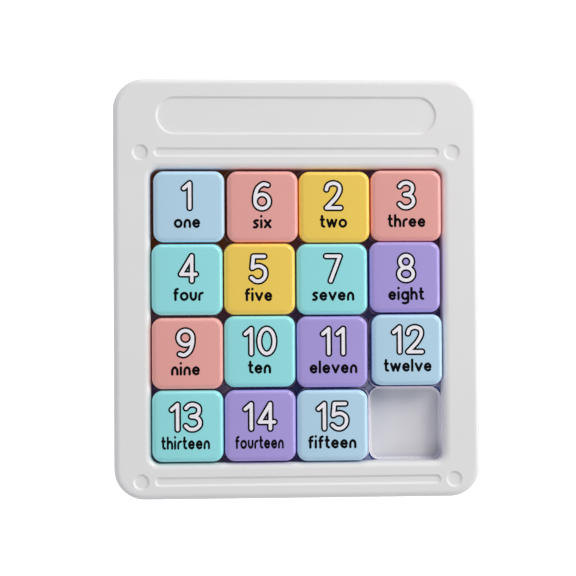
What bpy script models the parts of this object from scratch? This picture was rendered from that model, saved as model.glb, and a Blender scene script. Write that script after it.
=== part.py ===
"""A magnetic sliding tile puzzle: fifteen numbered tiles on a four by four tray with one cell left empty.

The tray lies flat with the tiles' numbered side up. +X is to the right, +Y runs towards the wide margin and
+Z is up. The origin is under the middle of the outline, on the surface that the rubber feet rest on.
All sizes are in metres.
"""

import math

import bmesh
import bpy
from mathutils import Vector

# Outline of the tray, seen from above
TRAY_WIDTH = 0.125
TRAY_LENGTH = 0.143
TRAY_CORNER = 0.0105
EDGE_FILLET = 0.0022
OUTER_WALL = 0.0022

# The square window that holds the tiles
WINDOW_SIDE = 0.0998
WINDOW_CORNER = 0.003
WINDOW_Y = -0.0093
WINDOW_WALL = 0.002

# Heights above the resting surface
UNDERSIDE_Z = 0.001
SEAT_Z = 0.0034
SKIRT_Z = 0.0036
FLOOR_UNDER_Z = 0.0054
FLOOR_LOW_Z = 0.0072
RIM_Z = 0.0078
FACE_Z = 0.016
FACE_THICKNESS = 0.0024
GAP = 0.0003

# The sixteen dished cells of the floor
CELL_PITCH = 0.025
CELL_RIM_SIDE = 0.0251
CELL_RIM_CORNER = 0.0036
DISH_SIDE = 0.0243
DISH_CORNER = 0.0032
DISH_DEPTH = 0.0012

# The dish's bank from its bottom to above its mouth, as (inset, share of the depth)
DISH_BANK = ((0.0012, 1.0), (0.0005, 0.6), (0.0, 0.0), (0.0, -1.0))

# Shallow decoration in the face
RECESS_DEPTH = 0.0006
RECESS_DRAFT = 0.0003
TITLE_LENGTH = 0.0955
TITLE_HEIGHT = 0.0126
TITLE_Y = 0.0588
GROOVE_LENGTH = 0.0971
GROOVE_HEIGHT = 0.0028
SLOT_ROUNDNESS = 0.495
UPPER_Y = 0.0463
LOWER_Y = -0.0654
DIMPLE_DIAMETER = 0.0051
DIMPLE_X = 0.0533

# Back cover, its screws and its feet
LEDGE = 0.001
COVER_THICKNESS = 0.0021
BOSS_DIAMETER = 0.006
BORE_DIAMETER = 0.0029
BORE_TOP_Z = 0.0125
SCREW_HEAD_DIAMETER = 0.0054
SCREW_HEAD_HEIGHT = 0.0009
SCREW_SHANK_DIAMETER = 0.0023
SCREW_TIP_Z = 0.0105
CROWN_SHARE = 0.7
HEAD_RIM_SHARE = 0.55
TIP_SHARE = 0.4
DRIVE_LENGTH = 0.003
DRIVE_WIDTH = 0.0007
DRIVE_DEPTH = 0.0006
SECOND_SLOT_SHARE = 0.9
COUNTERBORE_DEPTH = 0.0013
FOOT_DIAMETER = 0.0098
FOOT_POCKET = 0.0009
FOOT_X = 0.048
FOOT_Y = 0.057
SHEET_SIDE = 0.0984
SHEET_CORNER = 0.0025
SHEET_THICKNESS = 0.0005
RIB_WIDTH = 0.0016
RIB_SPACING = 0.03
RIB_SPAN = 0.09
BAR_CORNER = 0.0002

# A tile and how the tiles stand in the window
TILE_SIDE = 0.0241
TILE_CORNER = 0.0035
TILE_TOP_Z = 0.0168
TILE_HEIGHT = TILE_TOP_Z - RIM_Z - GAP
TILE_FILLET = 0.0016
TILE_CHAMFER = 0.0003
TILE_WALL = 0.0012
TILE_ROOF = 0.0018
BASE_THICKNESS = 0.0012
MAGNET_DIAMETER = 0.008
MAGNET_THICKNESS = 0.003
CUP_WALL = 0.0009
CUP_HEIGHT = 0.0022
STUD_DIAMETER = 0.006
FIRST_TILE = Vector((-0.0375, 0.0276))
TILE_STEP_X = 0.0246
TILE_STEP_Y = 0.0247
TOP_ROW_SHIFT = 0.0007
LAST_COLUMN_SHIFT = 0.0004

# How far each loose tile rests from its even place
TILE_PLAY = {
    1: (0.0, 0.00015),
    2: (0.0003, -0.00005),
    3: (0.0003, -0.00005),
    4: (0.0, 0.0001),
    5: (0.0, 0.0002),
    6: (0.0004, 0.0001),
    7: (0.0001, 0.00005),
    8: (0.00045, 0.00025),
    9: (0.0, -0.0002),
    10: (-0.00005, 0.0003),
    11: (0.0, 0.00005),
    12: (0.001, 0.00015),
    13: (0.0, -0.0001),
    14: (0.0, -0.0001),
    15: (-0.00005, -0.00025),
}

# The numbers as they stand, row by row from the top, with the colour of each tile
LAYOUT = (
    ((1, "sky"), (6, "coral"), (2, "yellow"), (3, "coral")),
    ((4, "mint"), (5, "yellow"), (7, "mint"), (8, "violet")),
    ((9, "coral"), (10, "mint"), (11, "violet"), (12, "sky")),
    ((13, "mint"), (14, "violet"), (15, "sky")),
)

# Base colour, roughness and metallic share of every material
FINISHES = {
    "tray_plastic": ((0.79, 0.79, 0.79), 0.32, 0.0),
    "cover_plastic": ((0.74, 0.74, 0.735), 0.5, 0.0),
    "sheet_steel": ((0.55, 0.56, 0.57), 0.32, 1.0),
    "screw_steel": ((0.6, 0.6, 0.6), 0.25, 1.0),
    "foot_rubber": ((0.03, 0.03, 0.032), 0.8, 0.0),
    "magnet_nickel": ((0.62, 0.61, 0.58), 0.22, 1.0),
    "tile_base_plastic": ((0.6, 0.6, 0.6), 0.5, 0.0),
    "sky_plastic": ((0.47, 0.68, 0.83), 0.25, 0.0),
    "coral_plastic": ((0.81, 0.37, 0.34), 0.25, 0.0),
    "yellow_plastic": ((0.88, 0.62, 0.1), 0.25, 0.0),
    "mint_plastic": ((0.3, 0.74, 0.77), 0.25, 0.0),
    "violet_plastic": ((0.4, 0.32, 0.72), 0.25, 0.0),
}

# Fineness: steps in a large corner, in a small corner and in a fillet
LARGE_STEPS = 5
SMALL_STEPS = 3
FILLET_STEPS = 3
SMOOTH_ANGLE = math.radians(35)


# Outlines: every outline made with the same steps has the same number of points, so any two can be bridged


def rounded_square(width, length, corner, steps, centre=(0.0, 0.0)):
    """Points of a rectangle with round corners, anticlockwise seen from above, starting at the +X side."""
    points = []
    for quarter, (side_x, side_y) in enumerate(((1, 1), (-1, 1), (-1, -1), (1, -1))):
        x = centre[0] + side_x * (width / 2 - corner)
        y = centre[1] + side_y * (length / 2 - corner)
        for step in range(steps + 1):
            angle = math.pi / 2 * (quarter + step / steps)
            points.append((x + corner * math.cos(angle), y + corner * math.sin(angle)))
    return points


def circle(diameter, steps, centre=(0.0, 0.0)):
    """As many points on a circle as rounded_square has, spread evenly and with the same start."""
    count = 4 * (steps + 1)
    radius = diameter / 2
    points = []
    for index in range(count):
        angle = 2 * math.pi * (index + 0.5) / count
        points.append((centre[0] + radius * math.cos(angle), centre[1] + radius * math.sin(angle)))
    return points


def tray_outline(inset):
    return rounded_square(TRAY_WIDTH - 2 * inset, TRAY_LENGTH - 2 * inset, TRAY_CORNER - inset, LARGE_STEPS)


def window_outline(grow):
    side = WINDOW_SIDE + 2 * grow
    return rounded_square(side, side, WINDOW_CORNER + grow, LARGE_STEPS, (0.0, WINDOW_Y))


def slot_outline(length, height, steps, y):
    """A slot along X whose ends are round but for a trace, so that no side shrinks to nothing."""
    return rounded_square(length, height, height * SLOT_ROUNDNESS, steps, (0.0, y))


def fillet(radius, steps):
    """(inset, drop) pairs along a quarter round, from the flat top to the upright side."""
    pairs = []
    for step in range(steps + 1):
        angle = math.pi / 2 * step / steps
        pairs.append((radius * (1 - math.sin(angle)), radius * (1 - math.cos(angle))))
    return pairs


# Solids and objects


def add_loft(bm, levels):
    """Joins outlines given as (points, z) into a skin, with the first and the last outline filled."""
    rings = [[bm.verts.new((x, y, z)) for x, y in points] for points, z in levels]
    count = len(rings[0])
    faces = [bm.faces.new(rings[0]), bm.faces.new(rings[-1])]
    for lower, upper in zip(rings, rings[1:]):
        for i in range(count):
            j = (i + 1) % count
            faces.append(bm.faces.new((lower[i], lower[j], upper[j], upper[i])))
    bmesh.ops.recalc_face_normals(bm, faces=faces)


def loft_mesh(name, *solids):
    """One mesh of one or more closed lofts, shaded smooth with crisp edges."""
    bm = bmesh.new()
    for levels in solids:
        add_loft(bm, levels)
    return finished_mesh(name, bm)


def finished_mesh(name, bm):
    mesh = bpy.data.meshes.new(name)
    bm.to_mesh(mesh)
    bm.free()
    mesh.shade_smooth()
    mesh.set_sharp_from_angle(angle=SMOOTH_ANGLE)
    return mesh


def add_object(name, mesh, material=None, parent=None, location=(0.0, 0.0, 0.0)):
    """Places a mesh in the scene, with the material on the object so that copies can share the mesh."""
    obj = bpy.data.objects.new(name, mesh)
    bpy.context.scene.collection.objects.link(obj)
    obj.parent = parent
    obj.location = location
    if material:
        if not mesh.materials:
            mesh.materials.append(None)
        obj.material_slots[0].link = "OBJECT"
        obj.material_slots[0].material = material
    return obj


def add_empty(name, location):
    empty = bpy.data.objects.new(name, None)
    empty.empty_display_size = TILE_SIDE / 2
    bpy.context.scene.collection.objects.link(empty)
    empty.location = location
    return empty


def cut_or_join(target, operation, label, solids):
    """Adds a Boolean with a helper object that isn't rendered and shows as a wire. Its solids may overlap."""
    helper = add_object(label, loft_mesh(label, *solids), parent=target)
    helper.hide_render = True
    helper.display_type = "WIRE"
    boolean = target.modifiers.new(label, "BOOLEAN")
    boolean.operation = operation
    boolean.solver = "EXACT"
    boolean.use_self = True
    boolean.object = helper


def principled(name, colour, roughness, metallic):
    material = bpy.data.materials.new(name)
    material.use_nodes = True
    shader = material.node_tree.nodes["Principled BSDF"]
    shader.inputs["Base Color"].default_value = (*colour, 1.0)
    shader.inputs["Roughness"].default_value = roughness
    shader.inputs["Metallic"].default_value = metallic
    material.diffuse_color = (*colour, 1.0)
    return material


# The tray: one moulding with the face, the window, the dished floor and the screw bosses


def cell_centres():
    """Centres of the sixteen cells, row by row from the top left."""
    offsets = [CELL_PITCH * (k - 1.5) for k in range(4)]
    return [(x, WINDOW_Y - y) for y in offsets for x in offsets]


def screw_centres():
    return [(side * DIMPLE_X, y) for y in (UPPER_Y, LOWER_Y) for side in (-1, 1)]


def foot_centres():
    return [(side_x * FOOT_X, side_y * FOOT_Y) for side_y in (1, -1) for side_x in (-1, 1)]


def round_bars(diameter, centres, low_z, high_z):
    """Upright cylinders, as solids to join or to cut away."""
    bars = []
    for centre in centres:
        outline = circle(diameter, SMALL_STEPS, centre)
        bars.append([(outline, low_z), (outline, high_z)])
    return bars


def tray_levels():
    """The tray's skin as one run of outlines, from the window's floor over the face to below the floor."""
    levels = [(window_outline(0.0), FLOOR_LOW_Z)]
    for inset, drop in reversed(fillet(EDGE_FILLET, FILLET_STEPS)):
        levels.append((window_outline(inset), FACE_Z - drop))
    for inset, drop in fillet(EDGE_FILLET, FILLET_STEPS):
        levels.append((tray_outline(inset), FACE_Z - drop))
    under_face_z = FACE_Z - FACE_THICKNESS
    levels.append((tray_outline(0.0), UNDERSIDE_Z))
    levels.append((tray_outline(OUTER_WALL), UNDERSIDE_Z))
    levels.append((tray_outline(OUTER_WALL), SEAT_Z))
    levels.append((tray_outline(OUTER_WALL + LEDGE), SEAT_Z))
    levels.append((tray_outline(OUTER_WALL + LEDGE), under_face_z))
    levels.append((window_outline(WINDOW_WALL), under_face_z))
    levels.append((window_outline(WINDOW_WALL), SKIRT_Z))
    levels.append((window_outline(-GAP), SKIRT_Z))
    levels.append((window_outline(-GAP), FLOOR_UNDER_Z))
    return levels


def cell_rim_levels(centre):
    """A raised rounded square; neighbours merge along their sides, with a low diamond at each crossing."""
    outline = rounded_square(CELL_RIM_SIDE, CELL_RIM_SIDE, CELL_RIM_CORNER, SMALL_STEPS, centre)
    return [(outline, FLOOR_LOW_Z - GAP), (outline, RIM_Z)]


def dish_levels(centre):
    """The hollow of one cell: a short steep bank that turns into a flat bottom."""
    levels = []
    for inset, share in DISH_BANK:
        side = DISH_SIDE - 2 * inset
        outline = rounded_square(side, side, DISH_CORNER, SMALL_STEPS, centre)
        levels.append((outline, RIM_Z - DISH_DEPTH * share))
    return levels


def recess_levels(mouth, bottom):
    """A shallow pocket in the face, from its bottom to above its mouth."""
    return [(bottom, FACE_Z - RECESS_DEPTH), (mouth, FACE_Z), (mouth, FACE_Z + RECESS_DEPTH)]


def slot_recess(length, height, steps, y):
    mouth = slot_outline(length, height, steps, y)
    bottom = slot_outline(length - 2 * RECESS_DRAFT, height - 2 * RECESS_DRAFT, steps, y)
    return recess_levels(mouth, bottom)


def round_recess(centre):
    mouth = circle(DIMPLE_DIAMETER, SMALL_STEPS, centre)
    bottom = circle(DIMPLE_DIAMETER - 2 * RECESS_DRAFT, SMALL_STEPS, centre)
    return recess_levels(mouth, bottom)


def face_recesses():
    """The blank title panel, the two long grooves and the four dimples over the screws."""
    recesses = [slot_recess(TITLE_LENGTH, TITLE_HEIGHT, LARGE_STEPS, TITLE_Y)]
    for y in (UPPER_Y, LOWER_Y):
        recesses.append(slot_recess(GROOVE_LENGTH, GROOVE_HEIGHT, SMALL_STEPS, y))
    for centre in screw_centres():
        recesses.append(round_recess(centre))
    return recesses


def make_tray(material):
    """The tray with its rims, dishes, bosses and recesses."""
    tray = add_object("tray_frame", loft_mesh("tray_frame", tray_levels()), material)
    screws = screw_centres()
    bosses = round_bars(BOSS_DIAMETER, screws, SKIRT_Z, FACE_Z - FACE_THICKNESS + GAP)
    bores = round_bars(BORE_DIAMETER, screws, UNDERSIDE_Z, BORE_TOP_Z)
    cut_or_join(tray, "UNION", "cell_rims", [cell_rim_levels(centre) for centre in cell_centres()])
    cut_or_join(tray, "DIFFERENCE", "cell_dishes", [dish_levels(centre) for centre in cell_centres()])
    cut_or_join(tray, "UNION", "screw_bosses", bosses)
    cut_or_join(tray, "DIFFERENCE", "screw_bores", bores)
    cut_or_join(tray, "DIFFERENCE", "face_recesses", face_recesses())


# Under the floor


def make_steel_sheet(material):
    """The sheet that the tiles' magnets pull on."""
    outline = rounded_square(SHEET_SIDE, SHEET_SIDE, SHEET_CORNER, SMALL_STEPS, (0.0, WINDOW_Y))
    top_z = FLOOR_UNDER_Z - GAP
    mesh = loft_mesh("steel_sheet", [(outline, top_z - SHEET_THICKNESS), (outline, top_z)])
    return add_object("steel_sheet", mesh, material)


def rib_bars(low_z, high_z):
    """Three bars along X and three along Y, which cross; those along Y are a little lower and shorter."""
    bars = []
    for k in (-1, 0, 1):
        offset = k * RIB_SPACING
        across = rounded_square(RIB_SPAN, RIB_WIDTH, BAR_CORNER, 1, (0.0, WINDOW_Y + offset))
        along = rounded_square(RIB_WIDTH, RIB_SPAN - 2 * GAP, BAR_CORNER, 1, (offset, WINDOW_Y))
        bars.append([(across, low_z), (across, high_z)])
        bars.append([(along, low_z), (along, high_z - GAP)])
    return bars


def make_back_cover(material):
    """The flat cover inside the tray's lower edge, with ribs that hold the sheet up against the floor."""
    top_z = UNDERSIDE_Z + COVER_THICKNESS
    outline = tray_outline(OUTER_WALL + GAP)
    mesh = loft_mesh("back_cover", [(outline, UNDERSIDE_Z), (outline, top_z)])
    cover = add_object("back_cover", mesh, material)
    sheet_under_z = FLOOR_UNDER_Z - GAP - SHEET_THICKNESS
    below_z = UNDERSIDE_Z - GAP
    screws = screw_centres()
    holes = round_bars(BORE_DIAMETER, screws, UNDERSIDE_Z, top_z + GAP)
    head_room = SCREW_HEAD_DIAMETER + 2 * GAP
    counterbores = round_bars(head_room, screws, below_z, UNDERSIDE_Z + COUNTERBORE_DEPTH)
    foot_room = FOOT_DIAMETER + 2 * GAP
    pockets = round_bars(foot_room, foot_centres(), below_z, UNDERSIDE_Z + FOOT_POCKET)
    cut_or_join(cover, "UNION", "cover_ribs", rib_bars(top_z - GAP, sheet_under_z - GAP))
    cut_or_join(cover, "DIFFERENCE", "cover_holes", holes)
    cut_or_join(cover, "DIFFERENCE", "cover_counterbores", counterbores)
    cut_or_join(cover, "DIFFERENCE", "foot_pockets", pockets)


def screw_mesh():
    """A pan head under a plain shank with a blunt point; z is 0 where the head meets the cover."""
    head = circle(SCREW_HEAD_DIAMETER, SMALL_STEPS)
    crown = circle(SCREW_HEAD_DIAMETER * CROWN_SHARE, SMALL_STEPS)
    shank = circle(SCREW_SHANK_DIAMETER, SMALL_STEPS)
    tip = circle(SCREW_SHANK_DIAMETER * TIP_SHARE, SMALL_STEPS)
    length = SCREW_TIP_Z - (UNDERSIDE_Z + COUNTERBORE_DEPTH - GAP)
    return loft_mesh(
        "screw",
        [
            (crown, -SCREW_HEAD_HEIGHT),
            (head, -SCREW_HEAD_HEIGHT * HEAD_RIM_SHARE),
            (head, 0.0),
            (shank, 0.0),
            (shank, length - SCREW_SHANK_DIAMETER / 2),
            (tip, length),
        ],
    )


def drive_slots():
    """The two crossed slots for a screwdriver; one is a little shallower, so that no two faces coincide."""
    slots = []
    sizes = ((DRIVE_LENGTH, DRIVE_WIDTH, 1.0), (DRIVE_WIDTH, DRIVE_LENGTH, SECOND_SLOT_SHARE))
    for width, length, share in sizes:
        mouth = rounded_square(width, length, BAR_CORNER, 1)
        below_z = -SCREW_HEAD_HEIGHT - DRIVE_DEPTH * share
        bottom_z = -SCREW_HEAD_HEIGHT + DRIVE_DEPTH * share
        slots.append([(mouth, below_z), (mouth, bottom_z)])
    return slots


def make_screws(material):
    mesh = screw_mesh()
    head_top_z = UNDERSIDE_Z + COUNTERBORE_DEPTH - GAP
    for number, (x, y) in enumerate(screw_centres(), start=1):
        screw = add_object(f"cover_screw_{number}", mesh, material, location=(x, y, head_top_z))
        cut_or_join(screw, "DIFFERENCE", f"drive_{number}", drive_slots())


def make_feet(material):
    """Rubber discs with a rounded lower edge, half sunk in the cover."""
    disc = circle(FOOT_DIAMETER, SMALL_STEPS)
    sole = circle(FOOT_DIAMETER - 2 * GAP, SMALL_STEPS)
    height = UNDERSIDE_Z + FOOT_POCKET - GAP
    mesh = loft_mesh("rubber_foot", [(sole, 0.0), (disc, GAP), (disc, height)])
    for number, (x, y) in enumerate(foot_centres(), start=1):
        add_object(f"rubber_foot_{number}", mesh, material, location=(x, y, 0.0))


# The tiles: z is 0 at the bottom of the skirt, and the origin is in the middle of the tile


def tile_outline(inset):
    side = TILE_SIDE - 2 * inset
    return rounded_square(side, side, TILE_CORNER - inset, SMALL_STEPS)


def tile_cap_mesh():
    """A hollow cap, open below, with a stud inside that holds the magnet down."""
    ceiling_z = TILE_HEIGHT - TILE_ROOF
    magnet_top_z = GAP + BASE_THICKNESS + GAP + MAGNET_THICKNESS
    stud = circle(STUD_DIAMETER, SMALL_STEPS)
    levels = [
        (stud, magnet_top_z + GAP),
        (stud, ceiling_z),
        (tile_outline(TILE_WALL), ceiling_z),
        (tile_outline(TILE_WALL), 0.0),
        (tile_outline(TILE_CHAMFER), 0.0),
        (tile_outline(0.0), TILE_CHAMFER),
    ]
    for inset, drop in reversed(fillet(TILE_FILLET, FILLET_STEPS - 1)):
        levels.append((tile_outline(inset), TILE_HEIGHT - drop))
    return loft_mesh("tile_cap", levels)


def tile_base_mesh():
    """The plate that closes the cap, with a round cup for the magnet."""
    floor_z = GAP + BASE_THICKNESS
    cup_inside = circle(MAGNET_DIAMETER + 2 * GAP, SMALL_STEPS)
    cup_outside = circle(MAGNET_DIAMETER + 2 * GAP + 2 * CUP_WALL, SMALL_STEPS)
    plate = tile_outline(TILE_WALL + GAP)
    levels = [
        (cup_inside, floor_z),
        (cup_inside, floor_z + CUP_HEIGHT),
        (cup_outside, floor_z + CUP_HEIGHT),
        (cup_outside, floor_z),
        (plate, floor_z),
        (plate, GAP),
    ]
    return loft_mesh("tile_base", levels)


def magnet_mesh():
    disc = circle(MAGNET_DIAMETER, SMALL_STEPS)
    low_z = GAP + BASE_THICKNESS + GAP
    return loft_mesh("tile_magnet", [(disc, low_z), (disc, low_z + MAGNET_THICKNESS)])


def tile_place(row, column, number):
    """Where a tile stands: packed a little closer than the cells, as loose tiles do."""
    play_x, play_y = TILE_PLAY[number]
    x = FIRST_TILE.x + column * TILE_STEP_X + play_x
    y = FIRST_TILE.y - row * TILE_STEP_Y + play_y
    if row == 0:
        x += TOP_ROW_SHIFT
    if column == 3:
        y += LAST_COLUMN_SHIFT
    return x, y, RIM_Z + GAP


def make_tiles(materials):
    cap = tile_cap_mesh()
    base = tile_base_mesh()
    magnet = magnet_mesh()
    for row, tiles in enumerate(LAYOUT):
        for column, (number, colour) in enumerate(tiles):
            name = f"tile_{number:02d}"
            place = add_empty(name, tile_place(row, column, number))
            add_object(f"{name}_cap", cap, materials[f"{colour}_plastic"], place)
            add_object(f"{name}_base", base, materials["tile_base_plastic"], place)
            add_object(f"{name}_magnet", magnet, materials["magnet_nickel"], place)


def clear_scene():
    for obj in list(bpy.data.objects):
        bpy.data.objects.remove(obj, do_unlink=True)


def main():
    clear_scene()
    materials = {name: principled(name, *finish) for name, finish in FINISHES.items()}
    make_tray(materials["tray_plastic"])
    make_steel_sheet(materials["sheet_steel"])
    make_back_cover(materials["cover_plastic"])
    make_screws(materials["screw_steel"])
    make_feet(materials["foot_rubber"])
    make_tiles(materials)


main()
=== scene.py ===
"""The looks of a magnetic sliding tile puzzle: smooth mouldings, printed tiles, materials, light and camera.

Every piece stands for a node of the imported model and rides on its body. +X is to the right, +Y runs towards
the wide margin of the tray, +Z is up, and all sizes are in metres. Prints are drawn in millimetres.
"""

import math

import bmesh
import bpy
from mathutils import Matrix, Vector
from mathutils.geometry import convex_hull_2d, delaunay_2d_cdt


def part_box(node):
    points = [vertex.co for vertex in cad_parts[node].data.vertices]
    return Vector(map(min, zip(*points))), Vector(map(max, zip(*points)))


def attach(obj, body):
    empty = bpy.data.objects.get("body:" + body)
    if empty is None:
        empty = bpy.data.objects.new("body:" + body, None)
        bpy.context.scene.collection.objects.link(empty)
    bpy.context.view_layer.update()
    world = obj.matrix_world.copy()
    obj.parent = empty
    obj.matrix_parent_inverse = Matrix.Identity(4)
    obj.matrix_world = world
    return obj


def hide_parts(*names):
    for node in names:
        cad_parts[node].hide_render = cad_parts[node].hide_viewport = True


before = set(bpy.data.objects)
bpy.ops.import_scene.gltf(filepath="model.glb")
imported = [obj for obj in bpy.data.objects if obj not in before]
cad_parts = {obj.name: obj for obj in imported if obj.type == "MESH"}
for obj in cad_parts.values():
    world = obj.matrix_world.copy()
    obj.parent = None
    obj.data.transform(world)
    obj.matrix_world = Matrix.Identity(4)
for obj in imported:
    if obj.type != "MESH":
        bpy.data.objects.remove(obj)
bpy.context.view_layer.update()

MM = 0.001

# The tray, from the frame
TRAY_LOW, TRAY_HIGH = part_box("tray_frame")
TRAY_WIDTH = TRAY_HIGH.x - TRAY_LOW.x
TRAY_LENGTH = TRAY_HIGH.y - TRAY_LOW.y
FACE_Z = TRAY_HIGH.z
UNDERSIDE_Z = TRAY_LOW.z
TRAY_CORNER = 10.5 * MM
EDGE_FILLET = 2.2 * MM
FOOT_FILLET = 0.4 * MM
OUTER_WALL = 2.2 * MM
LEDGE = 1.0 * MM
FACE_THICKNESS = 2.4 * MM
SEAT_Z = 3.4 * MM
SKIRT_Z = 3.6 * MM
GAP = 0.3 * MM

# The window and its sixteen dished cells
WINDOW_SIDE = 99.8 * MM
WINDOW_CORNER = 3.0 * MM
WINDOW_Y = -9.3 * MM
WINDOW_WALL = 2.0 * MM
FLOOR_UNDER_Z = 5.4 * MM
RIM_Z = 7.8 * MM
CELL_PITCH = 25.0 * MM
CELL_RIM_SIDE = 25.1 * MM
CELL_RIM_CORNER = 3.6 * MM
DISH_SIDE = 24.5 * MM
DISH_CORNER = 3.2 * MM
DISH_DEPTH = 1.2 * MM
DISH_BANK = 0.8 * MM
DISH_CREST = 0.2 * MM
CROSSING_DEPTH = 0.6 * MM
CROSSING_EDGE = 0.25 * MM
WALL_FIN = 0.02 * MM

# Shallow decoration in the face
RECESS_DEPTH = 0.6 * MM
RECESS_EDGE = 0.9 * MM
RECESS_GROW = 0.3 * MM
TITLE_SIZE = (95.5 * MM, 12.6 * MM)
TITLE_Y = 58.8 * MM
GROOVE_SIZE = (97.1 * MM, 2.8 * MM)
UPPER_Y = 46.3 * MM
LOWER_Y = -65.4 * MM
SLOT_ROUNDNESS = 0.999
DIMPLE_DIAMETER = 5.1 * MM
DIMPLE_X = 53.3 * MM
BOSS_DIAMETER = 6.0 * MM
BORE_DIAMETER = 2.9 * MM
BORE_TOP_Z = 12.5 * MM

# Steel sheet, back cover, screws and feet
SHEET_CORNER = 2.5 * MM
SHEET_EDGE = 0.06 * MM
COVER_TOP_RISE = 2.1 * MM
COVER_EDGE = 0.2 * MM
COUNTERBORE_DEPTH = 1.3 * MM
SCREW_HEAD_DIAMETER = 5.4 * MM
SCREW_HEAD_HEIGHT = 0.9 * MM
SCREW_SHANK_DIAMETER = 2.3 * MM
SCREW_TIP_DIAMETER = 0.92 * MM
CROWN_SHARE = 0.62
CROWN_DROP = SCREW_HEAD_HEIGHT * 0.55
DRIVE_LENGTH = 3.0 * MM
DRIVE_WIDTH = 0.7 * MM
DRIVE_DEPTH = 0.6 * MM
SECOND_DRIVE_SHARE = 0.97
FOOT_POCKET = 0.9 * MM
FOOT_EDGE = 0.35 * MM
RIB_WIDTH = 1.6 * MM
RIB_SPACING = 30.0 * MM
RIB_SPAN = 90.0 * MM

# A tile
TILE_CORNER = 3.5 * MM
TILE_FILLET = 1.6 * MM
TILE_CHAMFER = 0.3 * MM
TILE_WALL = 1.2 * MM
TILE_ROOF = 1.8 * MM
BASE_THICKNESS = 1.2 * MM
BASE_EDGE = 0.15 * MM
CUP_WALL = 0.9 * MM
CUP_HEIGHT = 2.2 * MM
MAGNET_DIAMETER = 8.0 * MM
MAGNET_THICKNESS = 3.0 * MM
MAGNET_EDGE = 0.2 * MM
STUD_DIAMETER = 6.0 * MM

# Ink, in heights above the printed top
INK_SINK = 0.02 * MM
BLACK_INK = 0.03 * MM
WHITE_INK = 0.05 * MM

# Fineness of the meshes
LARGE_STEPS = 20
SMALL_STEPS = 12
ROUND_STEPS = 8
FOOT_STEPS = 5
CREST_STEPS = 3
PLATE_STEPS = 3
HEAD_STEPS = 5
SUPPORT = 0.06 * MM
SMOOTH_ANGLE = math.radians(35)

# The colour of each tile
TILE_COLOURS = {
    "sky": (1, 12, 15),
    "coral": (3, 6, 9),
    "yellow": (2, 5),
    "mint": (4, 7, 10, 13),
    "violet": (8, 11, 14),
}


# Outlines and profiles


def rounded_rect(width, length, corner, steps, centre=(0.0, 0.0)):
    """Points of a rectangle with round corners, anticlockwise seen from above."""
    points = []
    for quarter, (side_x, side_y) in enumerate(((1, 1), (-1, 1), (-1, -1), (1, -1))):
        x = centre[0] + side_x * (width / 2 - corner)
        y = centre[1] + side_y * (length / 2 - corner)
        for step in range(steps + 1):
            angle = math.pi / 2 * (quarter + step / steps)
            points.append((x + corner * math.cos(angle), y + corner * math.sin(angle)))
    return points


def circle(diameter, steps, centre=(0.0, 0.0)):
    """As many points on a circle as rounded_rect has, spread evenly."""
    count = 4 * (steps + 1)
    points = []
    for index in range(count):
        angle = 2 * math.pi * (index + 0.5) / count
        across = diameter / 2 * math.cos(angle)
        along = diameter / 2 * math.sin(angle)
        points.append((centre[0] + across, centre[1] + along))
    return points


def tray_outline(inset):
    return rounded_rect(TRAY_WIDTH - 2 * inset, TRAY_LENGTH - 2 * inset, TRAY_CORNER - inset, LARGE_STEPS)


def window_outline(grow):
    side = WINDOW_SIDE + 2 * grow
    return rounded_rect(side, side, WINDOW_CORNER + grow, LARGE_STEPS, (0.0, WINDOW_Y))


def cell_centres():
    offsets = [CELL_PITCH * (k - 1.5) for k in range(4)]
    return [(x, WINDOW_Y - y) for y in offsets for x in offsets]


def screw_centres():
    return [(side * DIMPLE_X, y) for y in (UPPER_Y, LOWER_Y) for side in (-1, 1)]


def quarter_round(radius, steps=ROUND_STEPS):
    """(inset, drop) pairs from the flat top to the upright side, with a narrow flat strip at each end."""
    pairs = [(radius + SUPPORT, 0.0)]
    for step in range(steps + 1):
        angle = math.pi / 2 * step / steps
        pairs.append((radius * (1 - math.sin(angle)), radius * (1 - math.cos(angle))))
    pairs.append((0.0, radius + SUPPORT))
    return pairs


def soft_step(width, depth, lead=SUPPORT, steps=ROUND_STEPS):
    """(inset, drop) pairs of a bank that starts and ends level."""
    pairs = [(-lead, 0.0)]
    for step in range(steps + 1):
        t = step / steps
        pairs.append((width * t, depth * t * t * (3 - 2 * t)))
    pairs.append((width + lead, depth))
    return pairs


def crossing_quarter(inset):
    """One of the four arcs round the low spot where cells meet, from the +X cusp to the +Y cusp."""
    offset = CELL_PITCH / 2 - (CELL_RIM_SIDE / 2 - CELL_RIM_CORNER)
    radius = CELL_RIM_CORNER + inset
    spread = math.acos(offset / radius)
    start = 1.5 * math.pi - spread
    end = math.pi + spread
    points = []
    for step in range(SMALL_STEPS + 1):
        angle = start + (end - start) * step / SMALL_STEPS
        points.append((offset + radius * math.cos(angle), offset + radius * math.sin(angle)))
    return points


def crossing_outline(inset, centre, quarters):
    """The low spot's outline, made of some of its four quarters, counted anticlockwise from +X+Y."""
    points = []
    for quarter in quarters:
        turn = math.pi / 2 * quarter
        arc = [
            (x * math.cos(turn) - y * math.sin(turn), x * math.sin(turn) + y * math.cos(turn))
            for x, y in crossing_quarter(inset)
        ]
        points.extend(arc[:-1] if len(quarters) == 4 or quarter != quarters[-1] else arc)
    return [(centre[0] + x, centre[1] + y) for x, y in points]


# Mesh building


def ring(bm, points, z):
    return [bm.verts.new((x, y, z)) for x, y in points]


def skin(bm, levels):
    """Joins outlines given as (points, z) into a skin, and returns its first and last ring."""
    rings = [ring(bm, points, z) for points, z in levels]
    count = len(rings[0])
    for lower, upper in zip(rings, rings[1:]):
        for i in range(count):
            j = (i + 1) % count
            bm.faces.new((lower[i], lower[j], upper[j], upper[i]))
    return rings[0], rings[-1]


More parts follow.
